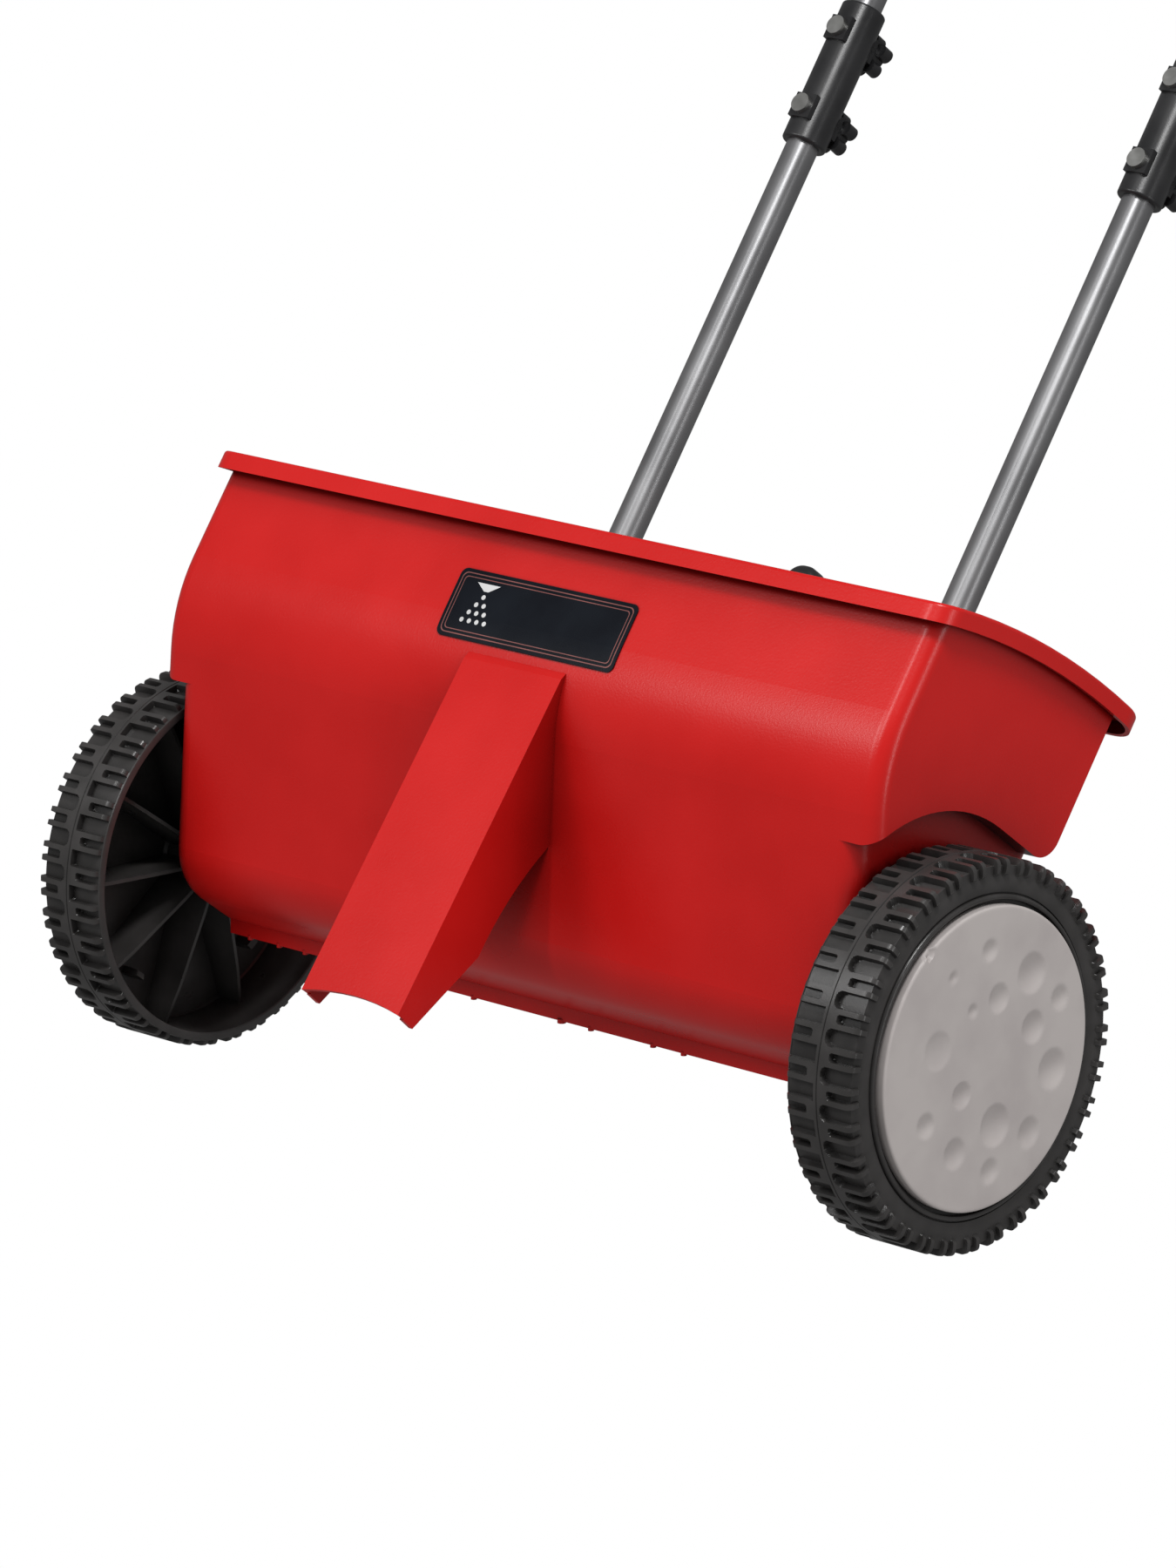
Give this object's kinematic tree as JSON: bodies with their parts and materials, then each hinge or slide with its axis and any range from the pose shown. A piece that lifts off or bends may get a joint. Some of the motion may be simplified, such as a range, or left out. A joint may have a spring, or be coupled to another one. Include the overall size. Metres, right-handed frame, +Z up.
{
  "type": "drop spreader",
  "caption": "Push drop spreader with an open hopper between treaded wheels, a folded front foot, a bent tube handle and a rear dosing lever that slides a slotted shutter.",
  "frame": {"origin": "on the floor under the middle of the spreader's box, standing on its two wheels and its foot", "axes": "+Z up, +X to the right seen from the front with the operator behind, so along the axle, +Y from the foot back to the operator"},
  "size_m": [0.571, 0.2463, 1.0745],
  "materials": {
    "red_plastic": "satin moulded polypropylene with a fine grain",
    "black_plastic": "satin moulded black plastic",
    "wheel_black": "satin moulded black plastic with treads",
    "cap_grey": "fine grained warm light grey plastic",
    "tube_grey": "metallic grey powder coat",
    "steel": "zinc plated",
    "foam": "matt black foam",
    "label": "gloss black label",
    "scale": "white scale with black ticks"
  },
  "bodies": {
    "chassis": {"axle_bush_left": "black_plastic", "axle_bush_right": "black_plastic", "bracket_screws": "steel", "connector_bolts": "steel", "handle_grip": "foam", "hopper": "red_plastic", "label_plate": "label", "lever_bracket": "black_plastic", "lower_tube_left": "tube_grey", "lower_tube_right": "tube_grey", "pivot_bolt": "steel", "rail_screws": "steel", "scale_plate": "scale", "shutter_rail": "red_plastic", "star_knobs": "black_plastic", "tube_bolts": "steel", "tube_connector_left": "black_plastic", "tube_connector_right": "black_plastic", "tube_nuts": "black_plastic", "tube_plug_left": "black_plastic", "tube_plug_right": "black_plastic", "tube_saddles": "black_plastic", "upper_handle": "tube_grey"},
    "drive_axle": {"axle_shaft": "steel", "agitator": "black_plastic", "agitator_pins": "steel", "drive_pin": "steel", "wheel_right": "wheel_black", "hub_cap_right": "cap_grey", "retaining_clip_right": "steel", "retaining_clip_left": "steel", "axle_spacer_right": "black_plastic", "axle_spacer_left": "black_plastic"},
    "left_wheel": {"wheel_left": "wheel_black", "hub_cap_left": "cap_grey"},
    "dosing_lever": {"lever_arm": "black_plastic", "lever_drive_pin": "steel", "lever_knob": "black_plastic"},
    "shutter": {"shutter_plate": "steel"}
  },
  "joints": [
    {"name": "drive_axle_spin", "type": "hinge", "parent": "chassis", "child": "drive_axle", "pos_m": [0, 0.02325, 0.1], "axis": [1, 0, 0], "continuous": true},
    {"name": "left_wheel_spin", "type": "hinge", "parent": "chassis", "child": "left_wheel", "pos_m": [0, 0.02325, 0.1], "axis": [1, 0, 0], "continuous": true},
    {"name": "dosing_lever_swing", "type": "hinge", "parent": "chassis", "child": "dosing_lever", "pos_m": [0, 0.07373, 0.15023], "axis": [0, 0.9951, 0.0988], "range_deg": [0, 12.8]},
    {"name": "shutter_slide", "type": "slide", "parent": "chassis", "child": "shutter", "axis": [-1, 0, 0], "range_m": [0, 0.009]}
  ],
  "couplings": [
    {"joint": "shutter_slide", "follows": "dosing_lever_swing", "m_per_rad": 0.04}
  ]
}
